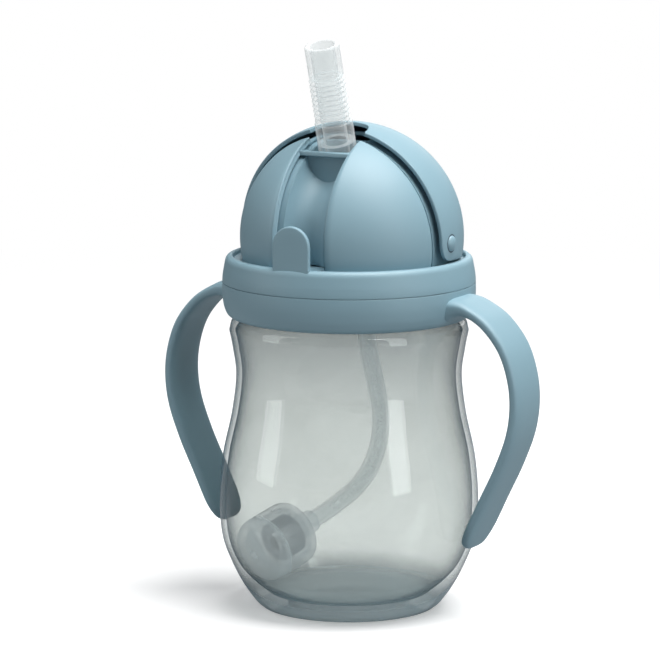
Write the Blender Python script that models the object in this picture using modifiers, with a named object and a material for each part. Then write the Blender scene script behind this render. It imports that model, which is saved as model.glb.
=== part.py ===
"""Straw sippy cup with two handles, a domed lid, a flip cover and a weighted straw.

Millimetres below, metres in the scene.  +Z is up, the drinking side faces -Y, and the handles
and the cover's pins lie along X.  The cup stands on z = 0 with its axis on the origin.
"""

import math

import bmesh
import bpy
from mathutils import Matrix, Vector

MM = 0.001
GAP = 0.3                 # between pieces that touch
STEPS = 40                # facets round the large turned pieces
SMALL_STEPS = 20          # facets round the small ones

# Bottle
WALL = 1.8
FLOOR_Z = 4.4
BASE_R, RECESS_R, RECESS_DEPTH = 25.5, 17.0, 0.8
NECK_R, NECK_WALL, RIM_Z, SHOULDER_Z = 29.8, 2.0, 102.5, 88.1

# Screw thread between bottle and lid
PITCH, TURNS, BEAD_R = 4.0, 1.25, 1.0
THREAD_Z = 94.0

# Lid
SEAM_Z = 98.95            # underside of the lid's visible rim
SKIRT_R, SKIRT_WALL, SKIRT_Z = 31.45, 1.75, 90.3
CEILING_Z = 104.6
PIVOT_Z = 112.4           # centre of the dome, and height of the cover's pins
DOME_R, DOME_WALL = 32.6, 1.8
GROOVE_Z = 105.4
CHANNEL_HALF, CHANNEL_REAR = 8.5, 4.0
PIN_R, PIN_HEAD_R, PIN_HOLE_GAP = 2.0, 2.4, 0.35
PIN_FOOT, PIN_HEAD_FROM = 29.6, 33.0

# Straw cradle: the block that fills the dome's channel
LEDGE_R, CRADLE_R, CRADLE_HALF = 28.6, 20.4, 8.2
TROUGH_PATH_R, TROUGH_R = 28.8, 6.6
BAR_FRONT, BAR_THICK, BAR_TOP_Z = 15.5, 1.6, 139.0
WELL_R, WELL_FLOOR = 7.0, -12.0
CONDUIT_R, BORE_R, CONDUIT_END = 7.6, 5.9, -45.7

# Flip cover
COVER_IN, COVER_OUT, EAR_R = 33.05, 34.3, 5.2
EDGE_LEAN = 0.075         # how far the front edge leans forward for each unit of height
NOTCH_HALF, NOTCH_DEPTH = 9.0, 8.0

# Catch tab
TAB_HALF, TAB_BASE_Z, TAB_TOP_Z = 6.0, 106.9, 119.5
TAB_BACK, TAB_THICK = 35.05, 1.7
TAB_ROOT = (0.0, -34.0, GROOVE_Z + 0.4)   # where it flexes

# Spout: distances below are along its axis, from the point SPOUT_FOOT, upwards
SPOUT_FOOT = (0.0, -7.4, 140.0)
SPOUT_LEAN = math.radians(17.5)
STEM_R, STEM_LOW_R, STEM_BORE_R = 5.65, 5.3, 3.6
STEM_TOP, STEM_END = 1.7, -48.0
RIBS, RIB_PITCH, RIB_R, RIB_ROOT_R = 9, 1.55, 5.4, 4.85
RIBS_FROM = 8.2
TIP_FROM, TIP_TO, TIP_R, TIP_BORE_R = 22.6, 33.4, 5.15, 3.7
FOLD_AT, CURL_AT = 2.0, 16.0
CONNECTOR_END = -52.9

# Handles: the outer line of the right one, as (x, z)
HANDLE_WIDTH, HANDLE_THICK = 17.0, 3.8
HANDLE_LINE = [(43.3, 95.6), (50.1, 91.4), (56.1, 84.2), (59.4, 75.5), (60.4, 66.5),
               (59.1, 57.0), (55.2, 46.5), (50.5, 37.0), (46.4, 28.8), (43.2, 22.8)]
RING_R = 38.0

# Weighted straw: the tube's own route, from the connector to the weight
TUBE_R = 2.65
TUBE_ROUTE = [(0.0, 8.95, 88.15), (0.1, 12.9, 74.8), (0.5, 16.6, 64.6), (0.8, 19.2, 54.2),
              (0.0, 18.8, 44.9), (-2.2, 15.9, 36.9), (-5.1, 11.3, 31.6), (-7.9, 6.0, 28.2),
              (-10.2, 0.8, 25.8), (-11.2, -1.8, 24.9)]
TUBE_POINT_EVERY = 10.0
SLEEVE_LONG, SLEEVE_R = 5.4, 3.6
WEIGHT_R, WEIGHT_HALF, WEIGHT_WALL, WEIGHT_ROUND = 10.0, 9.4, 1.5, 5.0
WEIGHT_BORE_R, WEIGHT_SEAM = 1.5, 3.0
CORE_R, CORE_BORE_R = 6.2, 2.0


# ------------------------------------------------------------------ scene and helpers

for old in list(bpy.data.objects):
    bpy.data.objects.remove(old, do_unlink=True)


def collection(name):
    made = bpy.data.collections.new(name)
    bpy.context.scene.collection.children.link(made)
    return made


PARTS = collection("Straw sippy cup")
CUTTERS = collection("Cutters")


def material(name, colour, roughness, metallic=0.0, alpha=1.0):
    """A Principled material of its own for one part."""
    made = bpy.data.materials.new(name)
    made.use_nodes = True
    shader = made.node_tree.nodes["Principled BSDF"]
    shader.inputs["Base Color"].default_value = (*colour, 1.0)
    shader.inputs["Roughness"].default_value = roughness
    shader.inputs["Metallic"].default_value = metallic
    shader.inputs["Alpha"].default_value = alpha
    made.diffuse_color = (*colour, alpha)
    return made


BLUE = (0.30, 0.44, 0.53)
SMOKE = (0.40, 0.46, 0.47)
SILICONE = (0.80, 0.82, 0.82)
STEEL = (0.62, 0.63, 0.64)


def add(name, data):
    obj = bpy.data.objects.new(name, data)
    PARTS.objects.link(obj)
    return obj


def finish(obj, colour, roughness, metallic=0.0, alpha=1.0):
    """Gives a part its material and smooth shading."""
    obj.data.materials.clear()
    obj.data.materials.append(material(obj.name, colour, roughness, metallic, alpha))
    obj.data.shade_smooth()
    obj.data.set_sharp_from_angle(angle=math.radians(35))
    return obj


def as_cutter(obj):
    """Moves an object to the cutters, where no render shows it."""
    for home in list(obj.users_collection):
        home.objects.unlink(obj)
    CUTTERS.objects.link(obj)
    obj.hide_render = True
    obj.display_type = "WIRE"
    return obj


def boolean(obj, other, operation="DIFFERENCE"):
    step = obj.modifiers.new(operation.title(), "BOOLEAN")
    step.operation = operation
    step.solver = "EXACT"
    step.object = as_cutter(other)


def arc(centre, radius, start, end, count):
    """Points (a, b) on a circle, with angles in degrees from the b axis towards the a axis."""
    turn = [math.radians(start + (end - start) * i / count) for i in range(count + 1)]
    return [(centre[0] + radius * math.sin(t), centre[1] + radius * math.cos(t)) for t in turn]


def smooth(points, per_span):
    """Points on a Catmull-Rom curve through the given ones, in any number of dimensions."""
    ends = [Vector(p) for p in points]
    ends = [2 * ends[0] - ends[1]] + ends + [2 * ends[-1] - ends[-2]]
    line = []
    for a, b, c, d in zip(ends, ends[1:], ends[2:], ends[3:]):
        for i in range(per_span):
            t = i / per_span
            line.append(0.5 * (2 * b + t * (c - a) + t * t * (2 * a - 5 * b + 4 * c - d)
                               + t ** 3 * (3 * b - a - 3 * c + d)))
    return [tuple(p) for p in line + [ends[-2]]]


def turned(name, profile, steps=STEPS, closed=True):
    """A profile of (radius, height) turned about Z: down its outer side, then up its inner one."""
    mesh = bpy.data.meshes.new(name)
    count = len(profile)
    edges = [(i, i + 1) for i in range(count - 1)] + ([(count - 1, 0)] if closed else [])
    mesh.from_pydata([(r * MM, 0.0, z * MM) for r, z in profile], edges, [])
    obj = add(name, mesh)
    screw = obj.modifiers.new("Turn", "SCREW")
    screw.steps = screw.render_steps = steps
    screw.use_merge_vertices = True
    screw.merge_threshold = 0.00001
    screw.use_smooth_shade = False
    return obj


def made_mesh(obj):
    """Turns a curve, or an object with modifiers, into a plain mesh object in the same place."""
    obj.data.name = obj.name + " source"
    bpy.context.view_layer.update()
    graph = bpy.context.evaluated_depsgraph_get()
    mesh = bpy.data.meshes.new_from_object(obj.evaluated_get(graph))
    work = bmesh.new()
    work.from_mesh(mesh)
    bmesh.ops.remove_doubles(work, verts=work.verts, dist=1e-6)
    bmesh.ops.recalc_face_normals(work, faces=work.faces)
    work.to_mesh(mesh)
    work.free()
    name, place = obj.name, obj.matrix_world.copy()
    bpy.data.objects.remove(obj)
    made = add(name, mesh)
    made.matrix_world = place
    return made


def rod(name, route, radius, resolution):
    """A round bar with filled caps along the points of a route."""
    data = bpy.data.curves.new(name, "CURVE")
    data.dimensions = "3D"
    data.bevel_depth = radius * MM
    data.bevel_resolution = resolution
    data.use_fill_caps = True
    line = data.splines.new("POLY")
    line.points.add(len(route) - 1)
    for point, place in zip(line.points, route):
        point.co = (*(c * MM for c in place), 1.0)
    return add(name, data)


def plate(name, outline, half, axis="X"):
    """A flat outline with a thickness of twice half.

    axis X takes outline points as (y, z), and axis Y takes them as (x, z).
    """
    data = bpy.data.curves.new(name, "CURVE")
    data.dimensions = "2D"
    data.fill_mode = "BOTH"
    data.extrude = half * MM
    line = data.splines.new("POLY")
    line.points.add(len(outline) - 1)
    for point, place in zip(line.points, outline):
        point.co = (place[0] * MM, place[1] * MM, 0.0, 1.0)
    line.use_cyclic_u = True
    obj = add(name, data)
    # A 2D curve lies in XY: stood up, its first axis runs along Y (or X) and its second along Z.
    stand = Matrix.Rotation(math.pi / 2, 4, "X")
    obj.matrix_world = Matrix.Rotation(math.pi / 2, 4, "Z") @ stand if axis == "X" else stand
    obj = made_mesh(obj)
    obj.data.transform(obj.matrix_world)
    obj.matrix_world = Matrix.Identity(4)
    return obj


def box(name, low, high):
    mesh = bpy.data.meshes.new(name)
    work = bmesh.new()
    bmesh.ops.create_cube(work, size=1.0)
    for vert in work.verts:
        vert.co = Vector([(low[i] if vert.co[i] < 0 else high[i]) * MM for i in range(3)])
    work.to_mesh(mesh)
    work.free()
    return add(name, mesh)


def cylinder(name, radius, low, high, steps=SMALL_STEPS):
    """A plain cylinder about Z, as a turned profile."""
    return turned(name, [(0, high), (radius, high), (radius, low), (0, low)], steps, False)


def ball(name, radius, segments=STEPS):
    """A sphere with its poles on X, centred on the cover's pivot."""
    mesh = bpy.data.meshes.new(name)
    work = bmesh.new()
    turn = Matrix.Translation((0, 0, PIVOT_Z * MM)) @ Matrix.Rotation(math.pi / 2, 4, "Y")
    bmesh.ops.create_uvsphere(work, u_segments=segments, v_segments=segments // 2,
                              radius=radius * MM, matrix=turn)
    work.to_mesh(mesh)
    work.free()
    return add(name, mesh)


def on_spout(obj, along=0.0):
    """Puts a piece made about Z onto the spout's axis."""
    obj.rotation_euler = (SPOUT_LEAN, 0, 0)
    obj.location = spout_point(along) * MM
    return obj


def spout_point(along):
    lean = Vector((0, -math.sin(SPOUT_LEAN), math.cos(SPOUT_LEAN)))
    return Vector(SPOUT_FOOT) + along * lean


def pivot(name, place):
    """An empty on a joint's axis, that the moving pieces hang from."""
    empty = bpy.data.objects.new(name, None)
    empty.location = Vector(place) * MM
    empty.empty_display_size = 10 * MM
    PARTS.objects.link(empty)
    return empty


def hang(parent, *children):
    for child in children:
        child.parent = parent
        child.matrix_parent_inverse = Matrix.Translation(-parent.location)


def thread(name, radius, from_z):
    """A rounded bead wound along a helix."""
    count = round(20 * TURNS)
    route = []
    for i in range(count + 1):
        turn = 2 * math.pi * TURNS * i / count
        route.append((radius * math.cos(turn), radius * math.sin(turn),
                      from_z + PITCH * TURNS * i / count))
    return made_mesh(rod(name, route, BEAD_R, 1))


# ------------------------------------------------------------------ bottle

BOTTLE_SIDE = [(BASE_R, 0.0), (28.7, 2.2), (32.3, 7.4), (35.8, 14.4), (38.3, 21.8),
               (39.1, 33.0), (38.0, 46.0), (35.2, 59.2), (33.9, 70.6), (34.9, 79.0),
               (35.9, 84.2)]


def bottle():
    """A pear-shaped cup with a thick floor, a flat shoulder and a threaded neck."""
    side = smooth(BOTTLE_SIDE, 2)
    outer = [(NECK_R - 0.5, RIM_Z), (NECK_R, RIM_Z - 0.5), (NECK_R, SHOULDER_Z)]
    outer += [(33.6, SHOULDER_Z), (35.3, 86.8)] + side[::-1]
    outer += [(RECESS_R + RECESS_DEPTH, 0.0), (RECESS_R, RECESS_DEPTH), (0.0, RECESS_DEPTH)]
    inner = [(0.0, FLOOR_Z), (20.0, FLOOR_Z), (25.4, 5.6), (29.9, 9.0)]
    inner += [(r - WALL, z) for r, z in BOTTLE_SIDE if z > 2 * FLOOR_Z]
    inner += [(33.2, 86.0), (NECK_R - NECK_WALL, SHOULDER_Z + 0.6), (NECK_R - NECK_WALL, RIM_Z)]
    obj = turned("bottle", inner + outer, closed=False)
    boolean(obj, thread("bottle thread", NECK_R, THREAD_Z), "UNION")
    return finish(obj, SMOKE, 0.06, alpha=0.45)


# ------------------------------------------------------------------ handle ring and handles

def handle_ring():
    """The ring round the neck that the lid's skirt clamps, and that carries both handles."""
    skirt_out = SKIRT_R + SKIRT_WALL
    top = SEAM_Z - 0.35
    profile = [(RING_R - 0.3, top), (RING_R, top - 0.4), (RING_R, 95.0), (37.5, 91.5),
               (36.6, 89.3), (35.4, SHOULDER_Z + 0.4), (31.3, SHOULDER_Z + 0.4),
               (31.3, SKIRT_Z - GAP), (skirt_out + 0.4, SKIRT_Z - GAP), (skirt_out + 0.4, top)]
    return finish(turned("handle_ring", profile), BLUE, 0.55)


def handle(name, side):
    """A broad strap that curves out, down and back in to a free rounded end."""
    outer = smooth(HANDLE_LINE, 2)
    inner = []
    for i, (x, z) in enumerate(outer):
        a = Vector(outer[max(i - 1, 0)])
        b = Vector(outer[min(i + 1, len(outer) - 1)])
        along = (b - a).normalized()
        inner.append((x + along.y * HANDLE_THICK, z - along.x * HANDLE_THICK))
    end = ((outer[-1][0] + inner[-1][0]) / 2, (outer[-1][1] + inner[-1][1]) / 2)
    along = (Vector(outer[-1]) - Vector(outer[-2])).normalized()
    tip = (end[0] + along.x * HANDLE_THICK / 2, end[1] + along.y * HANDLE_THICK / 2)
    root = [(36.0, 97.2), (39.6, 96.9)]
    fillet = [(40.5, 90.2), (36.0, 88.9)]
    outline = root + outer + [tip] + inner[::-1][:-1] + fillet
    obj = plate(name, [(side * x, z) for x, z in outline], HANDLE_WIDTH / 2, axis="Y")
    bevel = obj.modifiers.new("Round", "BEVEL")
    bevel.width = 1.3 * MM
    bevel.segments = 2
    bevel.limit_method = "ANGLE"
    bevel.angle_limit = math.radians(50)
    boolean(obj, cylinder(name + " seat", RING_R + GAP, 80, 110, 96))
    return finish(obj, BLUE, 0.5)


# ------------------------------------------------------------------ lid

def lid_shell():
    """The screwed lid: skirt, rim, and the dome with the channel cut in its front."""
    inside = DOME_R - DOME_WALL
    foot = math.degrees(math.acos((GROOVE_Z - PIVOT_Z) / DOME_R))
    foot_in = math.degrees(math.acos((CEILING_Z + 1.3 - PIVOT_Z) / inside))
    profile = arc((0, PIVOT_Z), DOME_R, 0, foot, 12)
    profile += [(34.9, GROOVE_Z), (35.0, 106.2), (35.6, 106.55), (36.4, 106.0), (37.0, 104.2),
                (37.6, 101.7), (37.95, 99.5), (37.8, SEAM_Z)]
    profile += [(SKIRT_R + SKIRT_WALL, SEAM_Z), (SKIRT_R + SKIRT_WALL, SKIRT_Z),
                (SKIRT_R, SKIRT_Z), (SKIRT_R, CEILING_Z), (27.0, CEILING_Z),
                (27.0, CEILING_Z + 1.3)]
    profile += arc((0, PIVOT_Z), inside, foot_in, 0, 10)
    obj = turned("lid_shell", profile, closed=False)
    boolean(obj, thread("lid thread", SKIRT_R, THREAD_Z - PITCH / 2), "UNION")
    boolean(obj, box("channel", (-CHANNEL_HALF, -45, 106.2), (CHANNEL_HALF, -CHANNEL_REAR, 150)))
    rear = cylinder("channel end", CHANNEL_HALF - 0.02, 130, 150)
    rear.location.y = -CHANNEL_REAR * MM
    boolean(obj, rear)
    boolean(obj, across("pin holes", PIN_R + PIN_HOLE_GAP, -40, 40))
    return finish(obj, BLUE, 0.55)


def across(name, radius, low, high):
    """A cylinder along X through the cover's pivot."""
    obj = cylinder(name, radius, low, high)
    obj.rotation_euler = (0, math.pi / 2, 0)
    obj.location.z = PIVOT_Z * MM
    return obj


def straw_cradle():
    """The channel's floor: ledges, the trough the spout folds into, the bar and the well."""
    ring = arc((0, PIVOT_Z), LEDGE_R, -16, 101, 16) + arc((0, PIVOT_Z), CRADLE_R, 101, -16, 12)
    obj = plate("straw_cradle", [(-y, z) for y, z in ring], CRADLE_HALF)
    bar = box("bar", (-CRADLE_HALF + 0.03, -BAR_FRONT, 130), (CRADLE_HALF - 0.03, -10.0, BAR_TOP_Z))
    boolean(obj, bar, "UNION")
    conduit = on_spout(cylinder("conduit", CONDUIT_R, CONDUIT_END, WELL_FLOOR + 3))
    boolean(obj, conduit, "UNION")
    path = [(0, -y, z) for y, z in arc((0, PIVOT_Z), TROUGH_PATH_R, 10, 112, 18)]
    trough = made_mesh(rod("trough", path, TROUGH_R, 4))
    boolean(trough, box("behind the bar", (-20, -BAR_FRONT, 80), (20, 20, 160)))
    boolean(obj, trough)
    boolean(obj, on_spout(cylinder("well", WELL_R, WELL_FLOOR, 25)))
    front = -BAR_FRONT + BAR_THICK
    boolean(obj, box("well front", (-TROUGH_R, front, 131.0), (TROUGH_R, -5.0, 150)))
    boolean(obj, on_spout(cylinder("bore", BORE_R, -60, 0)))
    return finish(obj, BLUE, 0.55)


def catch_tab():
    """The tongue at the rim that the closed cover snaps behind."""
    centre = TAB_TOP_Z - TAB_HALF
    outline = [(-TAB_HALF, TAB_BASE_Z)] + arc((0, centre), TAB_HALF, -90, 90, 14)
    outline += [(TAB_HALF, TAB_BASE_Z)]
    obj = plate("catch_tab", outline, TAB_THICK / 2, axis="Y")
    obj.data.transform(Matrix.Translation((0, -(TAB_BACK + TAB_THICK / 2) * MM, 0)))
    bevel = obj.modifiers.new("Round", "BEVEL")
    bevel.width = 0.5 * MM
    bevel.segments = 2
    bevel.limit_method = "ANGLE"
    bevel.angle_limit = math.radians(60)
    boolean(obj, box("tab step", (-5.6, -35.8, TAB_BASE_Z + 0.1), (5.6, -33.3, 108.6)), "UNION")
    root = box("tab root", (-5.5, -34.1, GROOVE_Z + GAP), (5.5, -33.2, 108.2))
    boolean(obj, root, "UNION")
    return finish(obj, BLUE, 0.5)


def flip_cover():
    """A slice of a ball's shell that turns forward over the spout."""
    obj = ball("flip_cover", COVER_OUT)
    boolean(obj, ball("cover inside", COVER_IN))
    top = 60.0
    side = [(EAR_R + EDGE_LEAN * top, PIVOT_Z + top)]
    side += arc((0, PIVOT_Z), EAR_R, 90, 180, 8)
    side += [(-60.0, PIVOT_Z - EAR_R - 2.3), (-60.0, PIVOT_Z + top)]
    boolean(obj, plate("cover slice", [(-y, z) for y, z in side], 50.0), "INTERSECT")
    edge = EAR_R + EDGE_LEAN * COVER_OUT
    notch = box("cover notch", (-NOTCH_HALF, -30, 128), (NOTCH_HALF, NOTCH_DEPTH - edge, 160))
    bevel = notch.modifiers.new("Round", "BEVEL")
    bevel.width = 2.5 * MM
    bevel.segments = 3
    boolean(obj, notch)
    boolean(obj, across("ear holes", PIN_HEAD_R + PIN_HOLE_GAP, -40, 40))
    obj.data.transform(Matrix.Translation((0, 0, -PIVOT_Z * MM)))
    obj.location.z = PIVOT_Z * MM
    return finish(obj, BLUE, 0.5)


def hinge_pin(name, side):
    """A pin with a domed head that the cover's ear turns on."""
    dome = [(0.0, 1.0), (1.2, 0.85), (2.0, 0.45), (PIN_HEAD_R, 0.05)]
    head = [(r, COVER_OUT + x) for r, x in dome] + [(PIN_HEAD_R, PIN_HEAD_FROM)]
    profile = head + [(PIN_R, PIN_HEAD_FROM), (PIN_R, PIN_FOOT), (0.0, PIN_FOOT)]
    obj = turned(name, profile, 16, closed=False)
    obj.rotation_euler = (0, side * math.pi / 2, 0)
    obj.location.z = PIVOT_Z * MM
    return finish(obj, BLUE, 0.35)


def lid_gasket():
    low, high = RIM_Z + GAP, CEILING_Z - GAP
    profile = [(30.7, high), (30.9, high - 0.5), (30.9, low), (27.3, low), (27.3, high)]
    return finish(turned("lid_gasket", profile), SILICONE, 0.5)


# ------------------------------------------------------------------ spout

def spout_stem():
    """The plain silicone length that runs down through the well to its sealing flange."""
    profile = [(STEM_R, STEM_TOP), (STEM_R, WELL_FLOOR + GAP), (STEM_LOW_R, WELL_FLOOR + GAP),
               (STEM_LOW_R, STEM_END + 2), (7.4, STEM_END + 2), (7.4, STEM_END),
               (STEM_BORE_R, STEM_END), (STEM_BORE_R, STEM_TOP)]
    return finish(on_spout(turned("spout_stem", profile, SMALL_STEPS)), SILICONE, 0.35, alpha=0.5)


def spout_bellows():
    """The length that bends when the cover closes: plain above the stem, then ribbed."""
    low = RIBS_FROM - FOLD_AT
    outer = [(STEM_R, 0.0), (STEM_R, low - GAP)]
    for i in range(RIBS):
        foot = low + i * RIB_PITCH
        outer += [(RIB_ROOT_R, foot), (RIB_R, foot + 0.45), (RIB_R, foot + 1.1)]
    outer += [(RIB_ROOT_R, low + RIBS * RIB_PITCH)]
    profile = outer[::-1] + [(STEM_BORE_R, 0.0), (STEM_BORE_R, low + RIBS * RIB_PITCH)]
    obj = on_spout(turned("spout_bellows", profile, 16), FOLD_AT)
    return finish(obj, SILICONE, 0.35, alpha=0.5)


def spout_tip():
    """The smooth mouthpiece."""
    low, high = TIP_FROM - CURL_AT, TIP_TO - CURL_AT
    profile = [(TIP_R - 0.6, high), (TIP_R, high - 0.7), (TIP_R, low), (TIP_BORE_R, low),
               (TIP_BORE_R, high - 0.4), (TIP_BORE_R + 0.3, high)]
    return finish(on_spout(turned("spout_tip", profile, SMALL_STEPS), CURL_AT), SILICONE, 0.35, alpha=0.5)


def straw_connector():
    """The rigid fitting between the spout's flange and the drop tube."""
    top = STEM_END - GAP
    profile = [(3.0, top + 4.5), (3.3, top + 4.0), (3.3, top), (6.6, top), (6.6, top - 1.8),
               (3.3, top - 1.8), (3.3, CONNECTOR_END), (1.6, CONNECTOR_END), (1.6, top + 4.5)]
    return finish(on_spout(turned("straw_connector", profile, SMALL_STEPS)), BLUE, 0.4)


# ------------------------------------------------------------------ weighted straw

def tube_line():
    """The route's smooth curve, read at even steps."""
    fine = [Vector(p) for p in smooth(TUBE_ROUTE, 12)]
    run = [0.0]
    for a, b in zip(fine, fine[1:]):
        run.append(run[-1] + (b - a).length)
    count = round(run[-1] / TUBE_POINT_EVERY)
    line = []
    for i in range(count + 1):
        at = run[-1] * i / count
        j = min(max(k for k, r in enumerate(run) if r <= at + 1e-9), len(fine) - 2)
        share = (at - run[j]) / (run[j + 1] - run[j])
        line.append(fine[j].lerp(fine[j + 1], share))
    return line


def on_weight(obj, foot, along):
    """Puts a piece made about Z onto the line that the tube ends on, pointing away from it."""
    obj.matrix_world = Matrix.Translation(foot * MM) @ along.to_track_quat("Z", "Y").to_matrix().to_4x4()
    return obj


def weighted_straw():
    """The tube, its sleeve, and the two-part float body with a steel core in it."""
    line = tube_line()
    along = (line[-1] - line[-2]).normalized()
    foot = line[-1]
    tube = made_mesh(rod("drop_tube", [tuple(p) for p in line], TUBE_R, 3))
    finish(tube, SILICONE, 0.3, alpha=0.5)

    bore, wall, corner = WEIGHT_BORE_R, WEIGHT_WALL, WEIGHT_ROUND
    sleeve = [(SLEEVE_R, SLEEVE_LONG), (SLEEVE_R, GAP + 0.5), (SLEEVE_R - 0.5, GAP), (bore, GAP),
              (bore, SLEEVE_LONG)]
    neck = on_weight(turned("weight_neck", sleeve, SMALL_STEPS), foot, along)
    finish(neck, SMOKE, 0.3)

    near = SLEEVE_LONG + GAP
    far = near + 2 * WEIGHT_HALF
    seam = near + WEIGHT_HALF + WEIGHT_SEAM
    side = WEIGHT_R - corner
    shell = [(WEIGHT_R, seam)] + arc((side, near + corner), corner, 90, 180, 4)
    shell += [(bore, near), (bore, near + wall)]
    shell += arc((side, near + corner), corner - wall, 180, 90, 3) + [(WEIGHT_R - wall, seam)]
    body = on_weight(turned("weight_shell", shell, SMALL_STEPS), foot, along)
    finish(body, SILICONE, 0.25, alpha=0.6)

    plug = WEIGHT_R - wall - 0.4
    cap = [(bore, far)] + arc((side, far - corner), corner, 0, 90, 4)
    cap += [(WEIGHT_R, seam + GAP), (plug, seam + GAP), (plug, seam - wall), (plug - 1, seam - wall),
            (plug - 1, far - 4.2), (4.0, far - wall), (bore, far - wall)]
    end = on_weight(turned("weight_cap", cap, SMALL_STEPS), foot, along)
    finish(end, SILICONE, 0.25, alpha=0.6)

    low, high = near + wall + 1.6, seam - wall - 0.5
    edge = 0.6
    core = [(CORE_R - edge, high), (CORE_R, high - edge), (CORE_R, low + edge), (CORE_R - edge, low),
            (CORE_BORE_R, low), (CORE_BORE_R, high)]
    steel = on_weight(turned("weight_core", core, SMALL_STEPS), foot, along)
    finish(steel, STEEL, 0.25, metallic=1.0)
    return [tube, neck, body, end, steel]


# ------------------------------------------------------------------ assembly

bottle()
handle_ring()
handle("right_handle", 1)
handle("left_handle", -1)

lid = [lid_shell(), straw_cradle(), lid_gasket(), hinge_pin("right_hinge_pin", 1),
       hinge_pin("left_hinge_pin", -1), spout_stem(), straw_connector()]
lid_axis = pivot("lid axis", (0, 0, SEAM_Z))
hang(lid_axis, *lid)
hang(lid_axis, flip_cover(), spout_bellows(), spout_tip())

tab_axis = pivot("tab root axis", TAB_ROOT)
hang(lid_axis, tab_axis)
hang(tab_axis, catch_tab())

straw_axis = pivot("straw axis", TUBE_ROUTE[0])
hang(lid_axis, straw_axis)
hang(straw_axis, *weighted_straw())
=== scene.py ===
"""Looks of the straw sippy cup: a smoke-tinted bottle, blue lid and handles, clear silicone straw.

Lengths are in millimetres until a piece's mesh is made.  +Z is up, the drinking side faces -Y and
the cover's pins lie along X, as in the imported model.
"""

import math

import bmesh
import bpy
import numpy as np
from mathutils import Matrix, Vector


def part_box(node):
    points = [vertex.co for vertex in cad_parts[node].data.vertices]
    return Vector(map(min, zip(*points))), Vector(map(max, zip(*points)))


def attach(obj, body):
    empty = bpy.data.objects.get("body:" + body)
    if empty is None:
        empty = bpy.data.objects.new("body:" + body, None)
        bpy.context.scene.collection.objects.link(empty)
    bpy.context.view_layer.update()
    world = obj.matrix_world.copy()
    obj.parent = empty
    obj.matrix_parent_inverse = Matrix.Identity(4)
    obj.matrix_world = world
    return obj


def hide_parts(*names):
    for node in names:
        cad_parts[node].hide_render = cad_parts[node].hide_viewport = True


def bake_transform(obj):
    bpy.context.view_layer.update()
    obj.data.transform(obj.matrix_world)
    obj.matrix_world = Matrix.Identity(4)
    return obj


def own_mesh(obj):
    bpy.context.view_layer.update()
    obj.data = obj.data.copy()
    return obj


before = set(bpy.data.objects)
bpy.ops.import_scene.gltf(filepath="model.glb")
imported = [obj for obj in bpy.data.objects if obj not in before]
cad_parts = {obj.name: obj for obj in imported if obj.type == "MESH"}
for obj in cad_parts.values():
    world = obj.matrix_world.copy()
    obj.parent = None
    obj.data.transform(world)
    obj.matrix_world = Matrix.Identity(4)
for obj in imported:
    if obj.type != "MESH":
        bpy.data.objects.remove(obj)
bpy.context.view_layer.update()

MM = 0.001
ROUND = 160               # steps round a large turned piece
SMALL_ROUND = 72          # steps round a small one

CUP, LID, SEAL, TAB, COVER = "bottle_body", "lid_body", "seal_body", "tab_body", "cover_body"
SPOUT, MOUTHPIECE, STRAW = "spout_body", "mouthpiece_body", "straw_body"

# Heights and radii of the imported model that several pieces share
SEAM_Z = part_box("lid_shell")[0].z / MM + 8.65
PIVOT_Z = 112.4
GROOVE_Z = 105.4
DOME_R, LOWER_DOME_R, DOME_IN = 32.6, 31.3, 30.1
LEAF_GAP = 1.7
COVER_IN, COVER_OUT = 33.05, 34.3
CHANNEL_HALF, CHANNEL_REAR = 8.5, 4.0
EAR_R, EDGE_LEAN = 5.2, 0.075
NOTCH_HALF, NOTCH_BACK = 9.0, 0.2
RING_R = 38.0
LEDGE_R, TROUGH_PATH_R, TROUGH_R = 28.6, 28.8, 6.6
BAR_FRONT, BAR_UP = 15.5, 26.6
SPOUT_LEAN = math.radians(17.5)
SPOUT_FOOT = np.array([0.0, -7.4, 140.0])
SPOUT_LINE = np.array([0.0, -math.sin(SPOUT_LEAN), math.cos(SPOUT_LEAN)])


# ------------------------------------------------------------------ meshes from grids

def solid(name, grid, round_rows=False, round_columns=False):
    """A mesh over a grid of points (rows, columns, 3): one quad between each four neighbours.

    The last row or column joins the first where asked.  Points that fall together are merged, so
    poles and seams close, and the faces are turned outwards if the enclosed volume is negative.
    """
    rows, columns = grid.shape[:2]
    index = np.arange(rows * columns).reshape(rows, columns)
    if round_rows:
        index = np.vstack([index, index[:1]])
    if round_columns:
        index = np.hstack([index, index[:, :1]])
    quads = np.stack([index[:-1, :-1], index[1:, :-1], index[1:, 1:], index[:-1, 1:]], axis=-1)
    mesh = bpy.data.meshes.new(name)
    mesh.from_pydata(grid.reshape(-1, 3) * MM, [], quads.reshape(-1, 4).tolist())
    work = bmesh.new()
    work.from_mesh(mesh)
    bmesh.ops.remove_doubles(work, verts=work.verts, dist=2e-7)
    bmesh.ops.dissolve_degenerate(work, dist=1e-8, edges=work.edges)
    if work.calc_volume(signed=True) < 0:
        bmesh.ops.reverse_faces(work, faces=work.faces)
    work.to_mesh(mesh)
    work.free()
    mesh.shade_smooth()
    mesh.set_sharp_from_angle(angle=math.radians(40))
    obj = bpy.data.objects.new(name, mesh)
    bpy.context.scene.collection.objects.link(obj)
    return obj


def place(obj, body, finish, slot_name, *nodes):
    """Gives a piece its finish and the body it rides on, and hides the nodes it stands for; its slot name is
    not used.
    """
    obj.data.materials.clear()
    obj.data.materials.append(finish)
    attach(obj, body)
    if nodes:
        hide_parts(*nodes)
    return obj


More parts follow.
